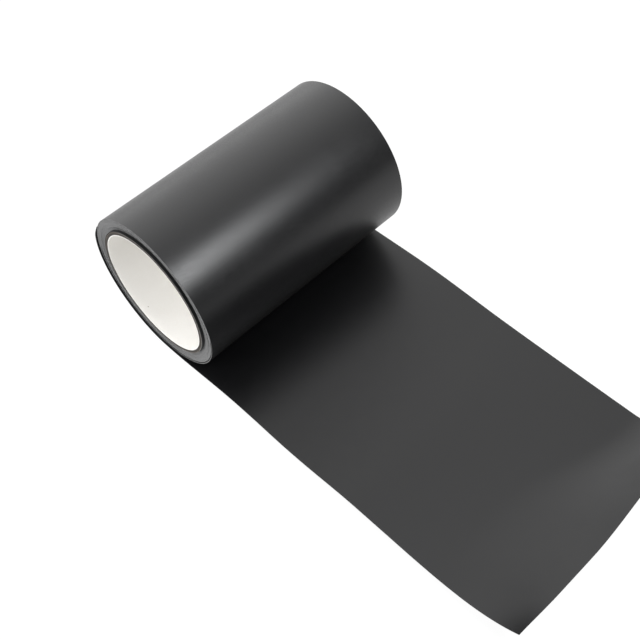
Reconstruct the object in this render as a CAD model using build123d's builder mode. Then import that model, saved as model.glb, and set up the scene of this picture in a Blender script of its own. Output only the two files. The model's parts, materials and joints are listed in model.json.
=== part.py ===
"""Roll of sign vinyl on a three-inch paper core, with its free end run out flat on a table.

Units are millimetres and +Z is up. The origin is the middle of the core's bore, on the roll's
axis. The axis is Y, the near end face is at -Y, and the free end runs out under the roll to +X.
The web is the vinyl face film, with its adhesive, on its release liner. It leaves the roll at the
bottom, so the film is the lower ply on the table and the liner is the upper one.
"""
from build123d import *
import math
import os

os.makedirs("parts", exist_ok=True)

# ---------------------------------------------------------------- driving dimensions
# paper core, cut to the same length as the web is wide
core_bore_radius = 38.5
facing_ply_thickness = 0.45      # smooth white ply that lines the bore
body_ply_thickness = 0.50        # grey-brown chipboard plies
body_ply_count = 3
outer_ply_thickness = 0.30       # smoother ply that the web is wound on

# web
web_width = 150.0
film_thickness = 0.10            # vinyl and its adhesive
liner_thickness = 0.15           # siliconed paper liner
wound_turns = 32                 # turns outside the first one

# start of the web on the core
tape_thickness = 0.10
tape_end_margin = 5.0            # from each end of the tape to the web's edge
tape_width = 14.0                # round the core
tape_angle = 40.0                # place round the core, degrees
first_wrap_slit = 0.6            # between the cut edge of the web and the end of its first turn

# how the roll has been handled
telescope_shift = 1.9            # the innermost turns have slid this far towards +Y
loose_wrap_shift = 0.5           # the outermost turn stands this far out towards -Y
loose_wrap_gap = 0.3             # air between the outermost turn and the tight ones
loose_wrap_angle = 105.0         # how far it is loose up the back, degrees from the bottom
nip_tip_angle = 8.0              # where it leaves the table behind the bottom, degrees

# free end on the table
flat_length = 210.0              # from below the roll's axis to where the end starts to curl
curl_radius = 80.0
curl_angle = 38.5                # degrees

# ---------------------------------------------------------------- derived sizes
web_thickness = film_thickness + liner_thickness
core_length = web_width
tape_length = web_width - 2 * tape_end_margin
core_outer_radius = (
    core_bore_radius + facing_ply_thickness + body_ply_count * body_ply_thickness + outer_ply_thickness
)
first_wrap_radius = core_outer_radius + web_thickness
roll_radius = first_wrap_radius + wound_turns * web_thickness
loose_inner_radius = roll_radius + loose_wrap_gap
loose_liner_radius = loose_inner_radius + liner_thickness
loose_outer_radius = loose_liner_radius + film_thickness

table_height = -loose_outer_radius
laid_start = -loose_outer_radius * math.sin(math.radians(nip_tip_angle))
tape_arc = math.degrees(tape_width / core_outer_radius)
slit_arc = math.degrees(first_wrap_slit / core_outer_radius)

# the loose turn and the free end are one web, so their edges are in the same two planes
web_far_edge = web_width / 2 - loose_wrap_shift
web_side = Plane.XZ.offset(-web_far_edge)
straight_down = 270.0            # direction in a side view, degrees from +X towards +Z


def tube_section(inner_radius, outer_radius, length):
    """Half section of a tube on the roll's axis, ready to be turned round it."""
    wall = outer_radius - inner_radius
    with BuildSketch(Plane.XY) as section:
        with Locations((inner_radius + wall / 2, 0)):
            Rectangle(wall, length)
    return section.sketch


def tape_section():
    """Cross section of the starter tape on the core's outer ply."""
    with BuildSketch(Plane.XY.rotated((0, tape_angle, 0))) as section:
        with Locations((core_outer_radius + tape_thickness / 2, 0)):
            Rectangle(tape_thickness, tape_length)
    return section.sketch


def laid_section(low, high):
    """Side view of one ply of the free end, between two heights above the table."""
    curl_centre = (flat_length, table_height + curl_radius)
    end = math.radians(straight_down + curl_angle)
    cut_edge = [
        (
            curl_centre[0] + (curl_radius - height) * math.cos(end),
            curl_centre[1] + (curl_radius - height) * math.sin(end),
        )
        for height in (low, high)
    ]
    with BuildSketch(web_side) as section:
        with BuildLine():
            for height in (low, high):
                level = table_height + height
                Line((laid_start, level), (flat_length, level))
                CenterArc(curl_centre, curl_radius - height, straight_down, curl_angle)
            Line((laid_start, table_height + low), (laid_start, table_height + high))
            Line(cut_edge[0], cut_edge[1])
        make_face()
    return section.sketch


def loose_section(inner_radius, outer_radius):
    """Side view of one ply of the loose outermost turn, up the back of the roll."""
    tip = straight_down - nip_tip_angle
    top = straight_down - loose_wrap_angle
    with BuildSketch(web_side) as section:
        with BuildLine():
            for radius in (inner_radius, outer_radius):
                CenterArc((0, 0), radius, tip, top - tip)
            for angle in (math.radians(tip), math.radians(top)):
                Line(
                    (inner_radius * math.cos(angle), inner_radius * math.sin(angle)),
                    (outer_radius * math.cos(angle), outer_radius * math.sin(angle)),
                )
        make_face()
    return section.sketch


# ---------------------------------------------------------------- paper core
facing_radius = core_bore_radius + facing_ply_thickness
with BuildPart() as core_facing_ply:
    revolve(tube_section(core_bore_radius, facing_radius, core_length), axis=Axis.Y)
core_facing_ply.part.label = "core_facing_ply"
export_step(core_facing_ply.part, "parts/core_facing_ply.step")

for number in range(body_ply_count):
    ply_radius = facing_radius + number * body_ply_thickness
    with BuildPart() as core_body_ply:
        revolve(tube_section(ply_radius, ply_radius + body_ply_thickness, core_length), axis=Axis.Y)
    core_body_ply.part.label = f"core_body_ply_{number + 1}"
    export_step(core_body_ply.part, f"parts/core_body_ply_{number + 1}.step")

body_radius = core_outer_radius - outer_ply_thickness
with BuildPart() as core_outer_ply:
    revolve(tube_section(body_radius, core_outer_radius, core_length), axis=Axis.Y)
core_outer_ply.part.label = "core_outer_ply"
export_step(core_outer_ply.part, "parts/core_outer_ply.step")

# ---------------------------------------------------------------- web wound on the core
with BuildPart() as starter_tape:
    revolve(tape_section(), axis=Axis.Y, revolution_arc=tape_arc)
starter_tape.part.label = "starter_tape"
export_step(starter_tape.part, "parts/starter_tape.step")

with BuildPart() as first_wrap:
    revolve(
        tube_section(core_outer_radius, first_wrap_radius, web_width),
        axis=Axis.Y,
        revolution_arc=360 - slit_arc,
    )
    revolve(tape_section(), axis=Axis.Y, revolution_arc=tape_arc, mode=Mode.SUBTRACT)
first_wrap.part.label = "first_wrap"
export_step(first_wrap.part, "parts/first_wrap.step")

with BuildPart() as wound_web:
    with BuildSketch(Plane.XY):
        with BuildLine():
            Polyline(
                (first_wrap_radius, -web_width / 2 + telescope_shift),
                (roll_radius, -web_width / 2),
                (roll_radius, web_width / 2),
                (first_wrap_radius, web_width / 2 + telescope_shift),
                close=True,
            )
        make_face()
    revolve(axis=Axis.Y)
wound_web.part.label = "wound_web"
export_step(wound_web.part, "parts/wound_web.step")

# ---------------------------------------------------------------- loose outermost turn
with BuildPart() as loose_liner:
    extrude(loose_section(loose_inner_radius, loose_liner_radius), amount=web_width)
loose_liner.part.label = "loose_liner"
export_step(loose_liner.part, "parts/loose_liner.step")

with BuildPart() as loose_film:
    extrude(loose_section(loose_liner_radius, loose_outer_radius), amount=web_width)
loose_film.part.label = "loose_film"
export_step(loose_film.part, "parts/loose_film.step")

# ---------------------------------------------------------------- free end on the table
with BuildPart() as laid_film:
    extrude(laid_section(0, film_thickness), amount=web_width)
laid_film.part.label = "laid_film"
export_step(laid_film.part, "parts/laid_film.step")

with BuildPart() as laid_liner:
    extrude(laid_section(film_thickness, web_thickness), amount=web_width)
laid_liner.part.label = "laid_liner"
export_step(laid_liner.part, "parts/laid_liner.step")
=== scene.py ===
"""A roll of sign vinyl on its paper core, with the free end run out over a pale table.

Lengths are metres, in the CAD frame: the roll's axis is Y, its near end is at -Y, the free end
runs out to +X, and the origin is the middle of the core's bore.
"""

import json
import math

import bpy
import numpy as np
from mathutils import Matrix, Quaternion, Vector


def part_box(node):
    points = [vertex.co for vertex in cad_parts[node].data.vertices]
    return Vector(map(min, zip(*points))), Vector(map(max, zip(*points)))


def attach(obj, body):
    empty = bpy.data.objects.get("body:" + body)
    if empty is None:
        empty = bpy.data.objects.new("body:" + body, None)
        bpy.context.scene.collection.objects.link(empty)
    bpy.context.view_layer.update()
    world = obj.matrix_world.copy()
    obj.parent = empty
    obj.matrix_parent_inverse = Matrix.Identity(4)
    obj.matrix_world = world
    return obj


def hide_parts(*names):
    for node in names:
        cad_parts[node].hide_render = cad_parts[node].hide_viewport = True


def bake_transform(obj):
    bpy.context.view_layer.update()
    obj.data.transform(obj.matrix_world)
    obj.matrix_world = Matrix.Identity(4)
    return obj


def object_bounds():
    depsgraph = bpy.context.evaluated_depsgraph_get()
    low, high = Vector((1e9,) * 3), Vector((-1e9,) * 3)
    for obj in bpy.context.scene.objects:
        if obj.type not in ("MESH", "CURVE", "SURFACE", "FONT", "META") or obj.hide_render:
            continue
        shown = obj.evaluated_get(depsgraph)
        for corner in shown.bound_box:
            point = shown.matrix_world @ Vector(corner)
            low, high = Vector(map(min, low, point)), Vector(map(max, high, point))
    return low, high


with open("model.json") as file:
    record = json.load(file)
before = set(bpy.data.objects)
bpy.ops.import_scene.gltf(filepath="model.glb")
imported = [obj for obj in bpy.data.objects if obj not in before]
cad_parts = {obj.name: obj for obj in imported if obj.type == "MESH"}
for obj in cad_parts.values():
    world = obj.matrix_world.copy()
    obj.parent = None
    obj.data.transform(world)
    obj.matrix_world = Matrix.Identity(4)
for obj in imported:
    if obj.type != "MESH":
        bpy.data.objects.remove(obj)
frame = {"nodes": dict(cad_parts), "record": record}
cad_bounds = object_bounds()


# ---------------------------------------------------------------- camera and studio
# The roll is seen from over its free end, looking down at its near end. It lies on a pale table
# between a bright wall at the back left and a small softbox above the free end.
AIM = Vector((0.0805, -0.0238, 0.0))
CAMERA_AZIMUTH = math.radians(-49.2)
CAMERA_ELEVATION = math.radians(53.28)
CAMERA_TILT = math.radians(-4.69)
CAMERA_DISTANCE = 0.5532
LENS_MM = 57.7

scene = bpy.context.scene
scene.view_settings.view_transform = "Standard"

camera = bpy.data.objects.new("camera", bpy.data.cameras.new("camera"))
scene.collection.objects.link(camera)
looking = Vector((
    math.cos(CAMERA_ELEVATION) * math.sin(CAMERA_AZIMUTH),
    math.cos(CAMERA_ELEVATION) * math.cos(CAMERA_AZIMUTH),
    -math.sin(CAMERA_ELEVATION),
))
camera.rotation_mode = "QUATERNION"
camera.location = AIM - looking * CAMERA_DISTANCE
camera.rotation_quaternion = looking.to_track_quat("-Z", "Y") @ Quaternion((0, 0, 1), CAMERA_TILT)
camera.data.lens = LENS_MM
camera.data.clip_start = 0.01
scene.camera = camera


class Value:
    """The output of a node. Arithmetic on it adds Math nodes to the same tree."""

    def __init__(self, graph, socket):
        self.graph = graph
        self.socket = socket

    def math(self, operation, *others):
        inputs = dict(enumerate((self, *others)))
        return self.graph.node("ShaderNodeMath", {"operation": operation}, inputs)

    def __add__(self, other):
        return self.math("ADD", other)

    def __radd__(self, other):
        return self.math("ADD", other)

    def __sub__(self, other):
        return self.math("SUBTRACT", other)

    def __rsub__(self, other):
        return self * -1.0 + other

    def __mul__(self, other):
        return self.math("MULTIPLY", other)

    def __rmul__(self, other):
        return self.math("MULTIPLY", other)

    def __truediv__(self, other):
        return self.math("DIVIDE", other)

    def __abs__(self):
        return self.math("ABSOLUTE")

    def __gt__(self, other):
        return self.math("GREATER_THAN", other)

    def __lt__(self, other):
        return self.math("LESS_THAN", other)


class Graph:
    """A tree of nodes under construction, for a material, the world or a piece's shape."""

    def __init__(self, tree):
        self.tree = tree

    def node(self, kind, settings=None, inputs=None, output=0):
        made = self.tree.nodes.new(kind)
        for name, value in (settings or {}).items():
            if name == "stops":
                ramp = made.color_ramp
                while len(ramp.elements) < len(value):
                    ramp.elements.new(1.0)
                for element, (place, colour) in zip(ramp.elements, value):
                    element.position = place
                    element.color = colour
            else:
                setattr(made, name, value)
        for name, value in (inputs or {}).items():
            if isinstance(value, Value):
                self.tree.links.new(value.socket, made.inputs[name])
            else:
                made.inputs[name].default_value = value
        return Value(self, made.outputs[output] if len(made.outputs) else None)


# The wall's light comes from one side, is even over its middle and fades round to the other side.
WALL_DIRECTION = (-0.86, 0.35, 0.36)
WALL_BRIGHTNESS = 2.2
WALL_MIDDLE = 0.86               # cosine of the angle from its direction within which it is even
ROOM_BRIGHTNESS = 0.16
BACKDROP_BRIGHTNESS = 1.0

world = bpy.data.worlds.new("studio")
scene.world = world
world.use_nodes = True
world.node_tree.nodes.clear()
studio = Graph(world.node_tree)
towards = studio.node("ShaderNodeTexCoord", output="Generated")
facing_wall = studio.node(
    "ShaderNodeVectorMath",
    {"operation": "DOT_PRODUCT"},
    {0: towards, 1: WALL_DIRECTION},
    output="Value",
)
fading = facing_wall.math("MAXIMUM", 0.0).math("MINIMUM", WALL_MIDDLE)
wall_light = fading * WALL_BRIGHTNESS + ROOM_BRIGHTNESS
WHITE = (1, 1, 1, 1)
lighting = studio.node("ShaderNodeBackground", None, {"Color": WHITE, "Strength": wall_light})
backdrop = studio.node("ShaderNodeBackground", None, {"Color": WHITE, "Strength": BACKDROP_BRIGHTNESS})
seen = studio.node("ShaderNodeLightPath", output="Is Camera Ray")
surroundings = studio.node("ShaderNodeMixShader", None, {0: seen, 1: lighting, 2: backdrop})
studio.node("ShaderNodeOutputWorld", None, {"Surface": surroundings})

# The softbox draws the long highlight on the roll. The fill is over the near end and looks into
# the bore.
for name, place, width, height, power in (
    ("softbox", (0.36, 0.03, 0.42), 0.28, 0.23, 2.8),
    ("fill", (0.02, -0.62, 0.52), 0.40, 0.40, 4.0),
):
    light = bpy.data.lights.new(name, "AREA")
    light.shape = "RECTANGLE"
    light.size = width
    light.size_y = height
    light.energy = power
    light.color = (0.975, 0.985, 1.0)
    lamp = bpy.data.objects.new(name, light)
    scene.collection.objects.link(lamp)
    lamp.location = place
    lamp.rotation_mode = "QUATERNION"
    lamp.rotation_quaternion = (-Vector(place)).to_track_quat("-Z", "Y")
    lamp.visible_camera = False


def plain_material(name):
    """A material with an empty tree, and a graph to build it with."""
    material = bpy.data.materials.new(name)
    material.use_nodes = True
    material.node_tree.nodes.clear()
    return material, Graph(material.node_tree)


def surface(graph, **inputs):
    """Ends a material's tree in a Principled shader with these inputs."""
    named = {name.replace("_", " "): value for name, value in inputs.items()}
    shader = graph.node("ShaderNodeBsdfPrincipled", None, named)
    graph.node("ShaderNodeOutputMaterial", None, {"Surface": shader})


TABLE_HALF = 3.0
TABLE_COLOUR = (0.05, 0.05, 0.05, 1.0)
TABLE_GLOW = 0.94
table_height = cad_bounds[0].z
table_mesh = bpy.data.meshes.new("table")
table_mesh.from_pydata(
    [(x * TABLE_HALF, y * TABLE_HALF, table_height) for x, y in ((-1, -1), (1, -1), (1, 1), (-1, 1))],
    [],
    [(0, 1, 2, 3)],
)
table = bpy.data.objects.new("table", table_mesh)
scene.collection.objects.link(table)
table_finish, graph = plain_material("pale_table")
surface(
    graph,
    Base_Color=TABLE_COLOUR,
    Roughness=0.9,
    Emission_Color=WHITE,
    Emission_Strength=TABLE_GLOW,
)
table_mesh.materials.append(table_finish)


# ---------------------------------------------------------------- paper core
# The core is five strips of paper wound in a spiral and glued into one tube: a smooth white ply
# that lines the bore, three of chipboard coloured nearly black, and a smoother one outside.
CIRCLE_STEPS = 256
FACING_CUTS = 24
BOARD_CUTS = 1
RIM_WANDER = 0.00018             # how far the cut rim strays along the core
RIM_STARTS = 0.495               # share of the length from the middle past which it strays
SHARP_ANGLE = math.radians(40)
PLY_LEAD = 0.118                 # length of core that the lining's seam takes to go round once
SEAM_WIDTH = 0.0044              # share of that length


def socket_tree(name, inputs):
    """A new geometry tree with these named inputs, and a graph to build it with."""
    tree = bpy.data.node_groups.new(name, "GeometryNodeTree")
    for label, kind in inputs:
        tree.interface.new_socket(label, in_out="INPUT", socket_type=kind)
    tree.interface.new_socket("Geometry", in_out="OUTPUT", socket_type="NodeSocketGeometry")
    graph = Graph(tree)
    group = tree.nodes.new("NodeGroupInput")
    return tree, graph, {label: Value(graph, group.outputs[label]) for label, kind in inputs}


def finish_tree(graph, shape, material):
    """Marks the sharp edges, lays the roll's axis along Y and ends the tree."""
    bend = graph.node("GeometryNodeInputMeshEdgeAngle")
    sharp = graph.node(
        "GeometryNodeSetShadeSmooth",
        {"domain": "EDGE"},
        {"Geometry": shape, "Selection": bend > SHARP_ANGLE, "Shade Smooth": False},
    )
    turned = graph.node(
        "GeometryNodeTransform", None, {"Geometry": sharp, "Rotation": (math.radians(90), 0, 0)}
    )
    real = graph.node("GeometryNodeRealizeInstances", None, {"Geometry": turned})
    dressed = graph.node("GeometryNodeSetMaterial", None, {"Geometry": real, "Material": material})
    graph.node("NodeGroupOutput", None, {"Geometry": dressed})


def grow(name, tree, sizes):
    """Makes a piece from a geometry tree and these sizes, and leaves it as a plain mesh."""
    piece = bpy.data.objects.new(name, bpy.data.meshes.new(name))
    scene.collection.objects.link(piece)
    modifier = piece.modifiers.new(name, "NODES")
    modifier.node_group = tree
    for item in tree.interface.items_tree:
        if item.in_out == "INPUT":
            modifier[item.identifier] = sizes[item.name]
    evaluated = piece.evaluated_get(bpy.context.evaluated_depsgraph_get())
    mesh = bpy.data.meshes.new_from_object(evaluated)
    piece.modifiers.clear()
    piece.data = mesh
    return piece


ply_tree, graph, size = socket_tree("paper_ply", [
    ("Inner Radius", "NodeSocketFloat"),
    ("Wall", "NodeSocketFloat"),
    ("Length", "NodeSocketFloat"),
    ("Cuts", "NodeSocketInt"),
    ("Wander", "NodeSocketFloat"),
    ("Seed", "NodeSocketFloat"),
    ("Paper", "NodeSocketMaterial"),
])
ring = graph.node(
    "GeometryNodeCurvePrimitiveCircle",
    None,
    {"Resolution": CIRCLE_STEPS, "Radius": size["Inner Radius"] + size["Wall"] * 0.5},
)
wall_section = graph.node(
    "GeometryNodeCurvePrimitiveQuadrilateral", None, {"Width": size["Wall"], "Height": size["Length"]}
)
wall_section = graph.node("GeometryNodeSubdivideCurve", None, {"Curve": wall_section, "Cuts": size["Cuts"]})
tube = graph.node("GeometryNodeCurveToMesh", None, {"Curve": ring, "Profile Curve": wall_section})
place = graph.node("GeometryNodeInputPosition")
along = graph.node("ShaderNodeSeparateXYZ", None, {0: place}, output="Z")
uneven = graph.node(
    "ShaderNodeTexNoise",
    {"noise_dimensions": "4D"},
    {"Vector": place, "W": size["Seed"], "Scale": 90.0, "Detail": 3.0},
)
near_rim = (abs(along) > size["Length"] * RIM_STARTS) * size["Wander"]
push = (uneven - 0.5) * near_rim
offset = graph.node("ShaderNodeCombineXYZ", None, {"Z": push})
frayed = graph.node("GeometryNodeSetPosition", None, {"Geometry": tube, "Offset": offset})
finish_tree(graph, frayed, size["Paper"])


def bore_paper():
    """Smooth white lining paper: faint fibres, a butt seam that winds along the bore, small specks."""
    material, graph = plain_material("white_lining_paper")
    place = graph.node("ShaderNodeTexCoord", output="Object")
    split = graph.node("ShaderNodeSeparateXYZ", None, {0: place})
    across, along, up = (Value(graph, split.socket.node.outputs[axis]) for axis in "XYZ")
    turn = up.math("ARCTAN2", across) * (0.5 / math.pi)
    phase = (along * (1 / PLY_LEAD) + turn).math("FRACT")
    seam = abs(phase - 0.5) < SEAM_WIDTH / 2
    fibres = graph.node(
        "ShaderNodeTexNoise", None, {"Vector": place, "Scale": 900.0, "Detail": 4.0, "Roughness": 0.6}
    )
    clouds = graph.node("ShaderNodeTexNoise", None, {"Vector": place, "Scale": 35.0, "Detail": 3.0})
    cells = graph.node("ShaderNodeTexVoronoi", None, {"Vector": place, "Scale": 110.0}, output="Distance")
    picked = graph.node("ShaderNodeTexVoronoi", None, {"Vector": place, "Scale": 110.0}, output="Color")
    picked = graph.node("ShaderNodeSeparateColor", None, {0: picked}, output="Red")
    speck = (cells < 0.035) * (picked > 0.86)
    tone = clouds * 0.55 + fibres * 0.45
    paper = graph.node(
        "ShaderNodeMix",
        {"data_type": "RGBA"},
        {0: tone, 6: (0.82, 0.797, 0.752, 1), 7: (0.91, 0.899, 0.876, 1)},
        output=2,
    )
    stained = graph.node(
        "ShaderNodeMix",
        {"data_type": "RGBA"},
        {0: (speck * 0.7).math("MAXIMUM", seam * 0.22), 6: paper, 7: (0.22, 0.17, 0.12, 1)},
        output=2,
    )
    relief = fibres * 0.5 - seam * 0.9
    bump = graph.node("ShaderNodeBump", None, {"Strength": 0.25, "Distance": 0.0002, "Height": relief})
    surface(graph, Base_Color=stained, Roughness=0.62 + fibres * 0.2, Normal=bump)
    return material


def board(name, dark, light):
    """Chipboard or kraft paper: short fibres in a mottle of two tones."""
    material, graph = plain_material(name)
    place = graph.node("ShaderNodeTexCoord", output="Object")
    fibres = graph.node(
        "ShaderNodeTexNoise", None, {"Vector": place, "Scale": 1400.0, "Detail": 5.0, "Roughness": 0.7}
    )
    mottle = graph.node("ShaderNodeTexNoise", None, {"Vector": place, "Scale": 160.0, "Detail": 3.0})
    tone = fibres * 0.65 + mottle * 0.35
    colour = graph.node(
        "ShaderNodeValToRGB", {"stops": [(0.36, dark), (0.64, light)]}, {"Fac": tone}
    )
    bump = graph.node("ShaderNodeBump", None, {"Strength": 0.6, "Distance": 0.0001, "Height": fibres})
    surface(graph, Base_Color=colour, Roughness=0.85, Normal=bump)
    return material


lining = bore_paper()
# The chipboard's two tones are nearly black, far darker than the board's own grey-brown, so the core's end
# shows as a dark ring.
chipboard = board("chipboard", (0.012, 0.010, 0.0085, 1), (0.055, 0.045, 0.037, 1))
kraft = board("kraft_paper", (0.075, 0.062, 0.050, 1), (0.17, 0.142, 0.115, 1))
PLIES = [
    ("core_facing_ply", FACING_CUTS, lining, "core_facing"),
    ("core_body_ply_1", BOARD_CUTS, chipboard, "core_board"),
    ("core_body_ply_2", BOARD_CUTS, chipboard, "core_board"),
    ("core_body_ply_3", BOARD_CUTS, chipboard, "core_board"),
    ("core_outer_ply", BOARD_CUTS, kraft, "core_outer"),
]
core_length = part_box("core_facing_ply")[1].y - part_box("core_facing_ply")[0].y
ply_inner = frame["record"]["mounts"][0]["dims"]["r_mm"] / 1000
for number, (node, cuts, paper, slot) in enumerate(PLIES):
    ply_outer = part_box(node)[1].x
    ply = grow(node + "_paper", ply_tree, {
        "Inner Radius": ply_inner,
        "Wall": ply_outer - ply_inner,
        "Length": core_length,
        "Cuts": cuts,
        "Wander": RIM_WANDER,
        "Seed": float(number),
        "Paper": paper,
    })
    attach(ply, "roll")
    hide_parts(node)
    ply_inner = ply_outer
core_radius = ply_outer


# ---------------------------------------------------------------- starter tape
# A short strip of clear double-sided tape holds the start of the web on the core, and is buried
# under the first turn.
tape_finish, graph = plain_material("clear_tape")
place = graph.node("ShaderNodeTexCoord", output="Object")
ripple = graph.node("ShaderNodeTexNoise", None, {"Vector": place, "Scale": 220.0, "Detail": 3.0})
tape_colour = graph.node(
    "ShaderNodeValToRGB",
    {"stops": [(0.3, (0.62, 0.60, 0.52, 1)), (0.7, (0.78, 0.76, 0.69, 1))]},
    {"Fac": ripple},
)
surface(graph, Base_Color=tape_colour, Roughness=0.2 + ripple * 0.15)
for material_slot in frame["nodes"]["starter_tape"].material_slots:
    material_slot.material = tape_finish


# ---------------------------------------------------------------- wound web
# One length of vinyl film on its liner, wound face out. The first turn is level with the core's
# end. The turns after it have slid along the core, the inner ones furthest.
FILM = 0.00010
LINER = 0.00015
AIR = 0.000004                   # between plies
STEPS_PER_TURN = 180
TAIL_ANGLE = math.radians(62)    # where the tight turns end, up the back from the bottom
TURN_JITTER = 0.00007
WEB_SET_BACK = 0.0005            # of every turn after the first, from the core's end
WEB_SLIDE = 0.0014               # further, for the innermost of them
SET_BACK_OVER = (1.0, 1.15)      # turns over which the web goes from the core's end to its set back
SLIPPED_TURN = 28.7              # one turn near the outside has slipped in along its lower half
SLIPPED_BY = 0.0011
SLIP_HEIGHTS = (0.004, -0.020)   # it starts to slip at the first and has slipped fully at the second
SLIP_TURNS = (0.5, 0.9)          # turns to each side that slip with it fully, and at all

web = FILM + LINER
roll_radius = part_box("wound_web")[1].z
web_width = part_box("laid_film")[1].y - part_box("laid_film")[0].y
wound_turns = (roll_radius - core_radius) / web - 1    # outside the first one

strip_tree, graph, size = socket_tree("wound_strip", [
    ("Start Radius", "NodeSocketFloat"),
    ("Turns", "NodeSocketFloat"),
    ("Pitch", "NodeSocketFloat"),
    ("Steps", "NodeSocketInt"),
    ("Thickness", "NodeSocketFloat"),
    ("Width", "NodeSocketFloat"),
    ("Set Back", "NodeSocketFloat"),
    ("Slide", "NodeSocketFloat"),
    ("Jitter", "NodeSocketFloat"),
    ("Slipped Turn", "NodeSocketFloat"),
    ("Slipped By", "NodeSocketFloat"),
    ("Tail Turn", "NodeSocketFloat"),
    ("Web", "NodeSocketMaterial"),
])
spiral = graph.node("GeometryNodeCurveSpiral", None, {
    "Resolution": size["Steps"],
    "Rotations": size["Turns"],
    "Start Radius": size["Start Radius"],
    "End Radius": size["Start Radius"] + size["Turns"] * size["Pitch"],
    "Height": 0.0,
    "Reverse": True,
})
spiral = graph.node("GeometryNodeTransform", None, {
    "Geometry": spiral,
    "Rotation": graph.node("ShaderNodeCombineXYZ", None, {"Z": size["Tail Turn"]}),
})
strip_section = graph.node(
    "GeometryNodeCurvePrimitiveQuadrilateral", None, {"Width": size["Thickness"], "Height": size["Width"]}
)
strip = graph.node(
    "GeometryNodeCurveToMesh",
    None,
    {"Curve": spiral, "Profile Curve": strip_section, "Fill Caps": True},
)
place = graph.node("GeometryNodeInputPosition")
flat_place = graph.node("ShaderNodeVectorMath", {"operation": "MULTIPLY"}, {0: place, 1: (1, 1, 0)})
radius = graph.node("ShaderNodeVectorMath", {"operation": "LENGTH"}, {0: flat_place}, output="Value")
turn = (radius - size["Start Radius"]) / size["Pitch"]
slid = graph.node("ShaderNodeMapRange", {"interpolation_type": "SMOOTHSTEP"}, {
    "Value": turn,
    "From Min": SET_BACK_OVER[0],
    "From Max": SET_BACK_OVER[1],
    "To Min": 0.0,
    "To Max": 1.0,
})
eased = 1.0 - turn / size["Turns"]
wander = graph.node(
    "ShaderNodeTexNoise", {"noise_dimensions": "1D"}, {"W": turn, "Scale": 0.9, "Detail": 2.0}
)
low_down = graph.node("ShaderNodeMapRange", {"interpolation_type": "SMOOTHSTEP"}, {
    "Value": graph.node("ShaderNodeSeparateXYZ", None, {0: place}, output="Y"),
    "From Min": SLIP_HEIGHTS[0],
    "From Max": SLIP_HEIGHTS[1],
    "To Min": 0.0,
    "To Max": 1.0,
})
slipped = graph.node("ShaderNodeMapRange", {"interpolation_type": "SMOOTHSTEP"}, {
    "Value": abs(turn - size["Slipped Turn"]),
    "From Min": SLIP_TURNS[0],
    "From Max": SLIP_TURNS[1],
    "To Min": 1.0,
    "To Max": 0.0,
})
shift = slid * (size["Set Back"] + eased * size["Slide"] + (wander - 0.5) * size["Jitter"] * 2.0)
shift = shift + slipped * low_down * size["Slipped By"]
offset = graph.node("ShaderNodeCombineXYZ", None, {"Z": shift * -1.0})
slid_strip = graph.node("GeometryNodeSetPosition", None, {"Geometry": strip, "Offset": offset})
finish_tree(graph, slid_strip, size["Web"])

FILM_BLACK = (0.0020, 0.0020, 0.0024, 1)
FILM_ROUGHNESS = 0.37
LINER_BLACK = (0.0020, 0.0020, 0.0023, 1)
LINER_ROUGHNESS = 0.37
LINER_SHEEN = 0.38               # the film keeps the shader's own 0.5
CUT_EDGE = (0.215, 0.215, 0.215, 1)


def dust_on(graph, place, per_metre, size, share):
    """A mask of small round specks, one in some of the cells of a grid of this many to the metre."""
    cell = {"Vector": place, "Scale": per_metre}
    near = graph.node("ShaderNodeTexVoronoi", None, cell, output="Distance")
    chance = graph.node("ShaderNodeTexVoronoi", None, cell, output="Color")
    chance = graph.node("ShaderNodeSeparateColor", None, {0: chance}, output="Red")
    return (near < size * per_metre) * (chance > 1.0 - share)


def vinyl(name, coordinates):
    """Satin black vinyl: a fine even grain, faint handling marks and a little dust."""
    material, graph = plain_material(name)
    place = graph.node("ShaderNodeTexCoord", output=coordinates)
    grain = graph.node("ShaderNodeTexNoise", None, {"Vector": place, "Scale": 1300.0, "Detail": 3.0})
    peel = graph.node("ShaderNodeTexNoise", None, {"Vector": place, "Scale": 420.0, "Detail": 2.0})
    marks = graph.node(
        "ShaderNodeTexNoise", None, {"Vector": place, "Scale": 38.0, "Detail": 4.0, "Distortion": 0.6}
    )
    dust = dust_on(graph, place, per_metre=55.0, size=0.00036, share=0.16)
    colour = graph.node(
        "ShaderNodeMix",
        {"data_type": "RGBA"},
        {0: dust * 0.6, 6: FILM_BLACK, 7: (0.42, 0.42, 0.41, 1)},
        output=2,
    )
    relief = grain * 0.8 + peel * 0.2
    bump = graph.node("ShaderNodeBump", None, {"Strength": 0.35, "Distance": 0.00010, "Height": relief})
    surface(
        graph,
        Base_Color=colour,
        Roughness=FILM_ROUGHNESS + (marks - 0.5) * 0.10 + (grain - 0.5) * 0.30 + dust * 0.3,
        Normal=bump,
    )
    return material


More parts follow.
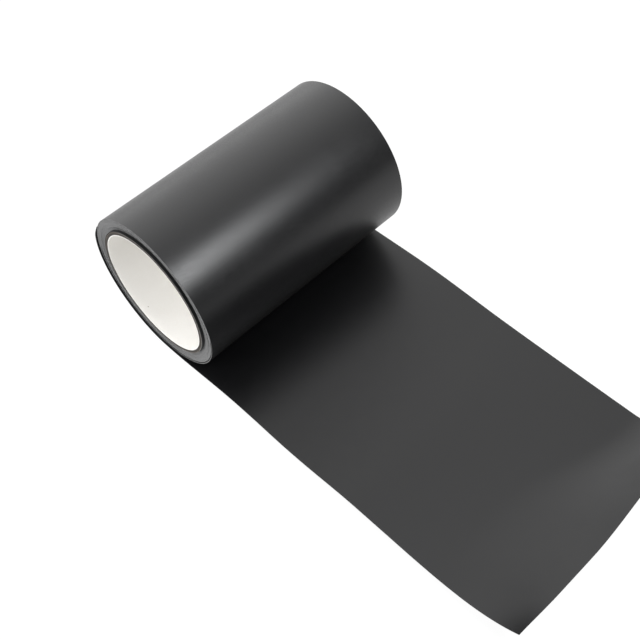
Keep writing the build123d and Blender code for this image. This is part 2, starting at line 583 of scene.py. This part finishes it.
def liner_paper(name, coordinates):
    """Black siliconed liner: duller than the film, with a paper's soft mottle. Its cut edge is grey."""
    material, graph = plain_material(name)
    place = graph.node("ShaderNodeTexCoord", output=coordinates)
    grain = graph.node("ShaderNodeTexNoise", None, {"Vector": place, "Scale": 1800.0, "Detail": 3.0})
    mottle = graph.node("ShaderNodeTexNoise", None, {"Vector": place, "Scale": 120.0, "Detail": 3.0})
    dust = dust_on(graph, place, per_metre=45.0, size=0.00036, share=0.10)
    facing = graph.node("ShaderNodeNewGeometry", output="Normal")
    endwise = abs(graph.node("ShaderNodeSeparateXYZ", None, {0: facing}, output="Y")) > 0.8
    face = graph.node(
        "ShaderNodeMix",
        {"data_type": "RGBA"},
        {0: dust * 0.8, 6: LINER_BLACK, 7: (0.35, 0.35, 0.34, 1)},
        output=2,
    )
    colour = graph.node(
        "ShaderNodeMix", {"data_type": "RGBA"}, {0: endwise, 6: face, 7: CUT_EDGE}, output=2
    )
    bump = graph.node("ShaderNodeBump", None, {"Strength": 0.12, "Distance": 0.00006, "Height": grain})
    surface(
        graph,
        Base_Color=colour,
        Roughness=LINER_ROUGHNESS + (mottle - 0.5) * 0.08 + endwise * 0.25,
        Specular_IOR_Level=LINER_SHEEN,
        Normal=bump,
    )
    return material


for name, inner, thickness, finish, slot in (
    ("wound_liner", 0.0, LINER, liner_paper("liner_on_roll", "Object"), "liner"),
    ("wound_film", LINER, FILM, vinyl("vinyl_on_roll", "Object"), "wound_web"),
):
    ply = grow(name, strip_tree, {
        "Start Radius": core_radius + inner + thickness / 2,
        "Turns": wound_turns,
        "Pitch": web,
        "Steps": STEPS_PER_TURN,
        "Thickness": thickness - AIR,
        "Width": web_width,
        "Set Back": WEB_SET_BACK,
        "Slide": WEB_SLIDE,
        "Jitter": TURN_JITTER,
        "Slipped Turn": SLIPPED_TURN,
        "Slipped By": SLIPPED_BY,
        "Tail Turn": math.radians(270) - TAIL_ANGLE - wound_turns * 2 * math.pi,
        "Web": finish,
    })
    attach(ply, "roll")
    if name == "wound_film":
        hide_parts("wound_web", "first_wrap")


# ---------------------------------------------------------------- loose turn and free end
# The outermost turn stands a little off the tight ones up the back of the roll. It runs on under
# the roll into the free end, which lies on the table and curls up at its cut edge.
LOOSE_GAP = 0.0003
MERGE_ANGLE = math.radians(117)      # up the back, where the loose turn lies down on the tight ones
CLOSING_ANGLE = math.radians(104)    # where it starts to close in on them
END_THICKNESS = 0.00004              # of the web where it has merged with them
ANGLE_STEPS = 48
RUN_STEPS = 132
WIDTH_STEPS = 30
CURL_START = 0.207               # along the web from below the axis, at the near edge
CURL_DELAY = 0.019               # it starts this much later at the far edge, and is tighter
CURL_NEAR = 0.45                 # how far the cut edge has turned up, radians
CURL_FAR = 0.82
CURL_GROWS = (-0.020, 0.065)     # where one side gives way to the other, across the web
CORNER = (-0.0755, -0.045)       # the near corner bends up late and more steeply
CORNER_EASE = 1.2
CORNER_GAIN = 1.467              # brings the corner's end to the same height
AFTER_CURL_START = 0.0583        # length of web from there to the cut edge, at the near edge

# The free end isn't quite flat or straight. Each of these is a distance and where along the web it
# comes: from and to, or for a wave or a bow its middle and how far it reaches to each side.
NEAR_DRAWN_IN, NEAR_DRAWN_IN_OVER = 0.0006, (0.0, 0.06)
FAR_BOWS_OUT, FAR_BOWS_OUT_AT = 0.0010, (0.070, 0.080)
FAR_DRAWN_IN, FAR_DRAWN_IN_OVER = 0.0005, (0.10, 0.215)
NEAR_WAVE, NEAR_WAVE_AT = 0.0026, (0.066, 0.066)
NEAR_RISE, NEAR_RISE_OVER = 0.0050, (0.090, 0.158)
NEAR_LAST_RISE, NEAR_LAST_RISE_OVER = 0.0011, (0.190, 0.225)
FAR_WAVE, FAR_WAVE_AT = 0.0006, (0.078, 0.050)
NEAR_LIFT_FADES = 1.6            # powers of the way across, so each edge lifts by itself
FAR_LIFT_FADES = 2
CLEARANCE = 0.00002              # between the loose turn and the tight ones

near_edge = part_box("laid_film")[0].y
far_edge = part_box("laid_film")[1].y
free_length = CURL_START + AFTER_CURL_START


def smooth(low, high, x):
    """Zero below low, one above high, and an eased rise between."""
    share = np.clip((x - low) / (high - low), 0, 1)
    return share * share * (3 - 2 * share)


def hump(centre, reach, x):
    """A soft rise of one at centre, gone at a reach to either side."""
    return 0.5 + 0.5 * np.cos(np.pi * np.clip((x - centre) / reach, -1, 1))


def web_surface(depth):
    """Grid of points on the web at a depth from its upper side: 0 is the liner's face, 1 the film's."""
    width = np.linspace(near_edge, far_edge, WIDTH_STEPS + 1)
    nearness = (far_edge - width) / (far_edge - near_edge)

    angle = np.linspace(MERGE_ANGLE, 0, ANGLE_STEPS + 1)
    closing = smooth(CLOSING_ANGLE, MERGE_ANGLE, angle)
    gap = LOOSE_GAP * (1 - closing)
    thick = web + (END_THICKNESS - web) * closing
    radius = roll_radius + CLEARANCE + gap + thick * depth
    loose = np.zeros((ANGLE_STEPS + 1, WIDTH_STEPS + 1, 3))
    loose[:, :, 0] = (-radius * np.sin(angle))[:, None]
    loose[:, :, 1] = width[None, :] + (closing * (-(near_edge + far_edge) / 2))[:, None]
    loose[:, :, 2] = (-radius * np.cos(angle))[:, None]

    run = np.linspace(0, free_length, RUN_STEPS + 1)
    step = run[1] - run[0]
    farness = smooth(*CURL_GROWS, width)
    final = CURL_NEAR + (CURL_FAR - CURL_NEAR) * farness
    start = (CURL_START + CURL_DELAY * farness)[None, :]
    part = np.clip((run[:, None] - start) / (free_length - start), 0, 1)
    early = part * (2 - part)
    late = CORNER_GAIN * part ** CORNER_EASE
    slope = final[None, :] * (late + (early - late) * smooth(*CORNER, width)[None, :])
    laid = np.zeros((RUN_STEPS + 1, WIDTH_STEPS + 1, 3))
    laid[1:, :, 0] = np.cumsum(np.cos(slope[1:]) * step, axis=0)
    laid[1:, :, 2] = np.cumsum(np.sin(slope[1:]) * step, axis=0)
    drawn_in = NEAR_DRAWN_IN * smooth(*NEAR_DRAWN_IN_OVER, run)
    strayed = FAR_BOWS_OUT * hump(*FAR_BOWS_OUT_AT, run) - FAR_DRAWN_IN * smooth(*FAR_DRAWN_IN_OVER, run)
    laid[:, :, 1] = (
        width[None, :] + drawn_in[:, None] * nearness[None, :] + strayed[:, None] * (1 - nearness[None, :])
    )
    near_lift = (
        NEAR_WAVE * hump(*NEAR_WAVE_AT, run)
        + NEAR_RISE * smooth(*NEAR_RISE_OVER, run)
        + NEAR_LAST_RISE * smooth(*NEAR_LAST_RISE_OVER, run)
    )
    far_lift = FAR_WAVE * hump(*FAR_WAVE_AT, run)
    laid[:, :, 2] += near_lift[:, None] * nearness[None, :] ** NEAR_LIFT_FADES
    laid[:, :, 2] += far_lift[:, None] * (1 - nearness[None, :]) ** FAR_LIFT_FADES
    laid[:, :, 2] += table_height + (1 - depth) * web
    return np.concatenate([loose[:-1], laid])


def web_ply(name, upper, lower, material):
    """A thin closed sheet between two depths of the web, with its length and width as its UV map."""
    top = web_surface(upper)
    bottom = web_surface(lower)
    rows, columns = top.shape[:2]
    points = np.concatenate([top.reshape(-1, 3), bottom.reshape(-1, 3)])
    below = rows * columns
    faces = []
    for row in range(rows - 1):
        for column in range(columns - 1):
            here = row * columns + column
            ahead = here + columns
            faces.append((here, ahead, ahead + 1, here + 1))
            faces.append((below + here, below + here + 1, below + ahead + 1, below + ahead))
    for row in range(rows - 1):
        here = row * columns
        faces.append((here, below + here, below + here + columns, here + columns))
        here += columns - 1
        faces.append((here, here + columns, below + here + columns, below + here))
    for column in range(columns - 1):
        faces.append((column, column + 1, below + column + 1, below + column))
        here = (rows - 1) * columns + column
        faces.append((here, below + here, below + here + 1, here + 1))
    mesh = bpy.data.meshes.new(name)
    mesh.from_pydata(points.tolist(), [], faces)
    mesh.polygons.foreach_set("use_smooth", [True] * len(faces))
    mesh.set_sharp_from_angle(angle=SHARP_ANGLE)
    travelled = np.cumsum(np.r_[0, np.linalg.norm(np.diff(top[:, 0], axis=0), axis=1)])
    sheet_place = np.zeros((2, rows, columns, 2))
    sheet_place[..., 0] = travelled[None, :, None]
    sheet_place[..., 1] = (top[-1, :, 1] - near_edge)[None, None, :]
    sheet_place = sheet_place.reshape(-1, 2)
    corner = np.empty(len(mesh.loops), int)
    mesh.loops.foreach_get("vertex_index", corner)
    uv = mesh.uv_layers.new(name="along_web")
    uv.data.foreach_set("uv", sheet_place[corner].ravel())
    mesh.materials.append(material)
    piece = bpy.data.objects.new(name, mesh)
    scene.collection.objects.link(piece)
    return piece, float(travelled[-1])


liner_share = LINER / web
for kind, upper, lower, finish, slot in (
    ("liner", 0.0, liner_share, liner_paper("liner_laid", "UV"), "liner"),
    ("film", liner_share, 1.0, vinyl("vinyl_laid", "UV"), "film_face"),
):
    ply, ply_length = web_ply("free_" + kind, upper, lower, finish)
    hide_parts("laid_" + kind, "loose_" + kind)
    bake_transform(ply)
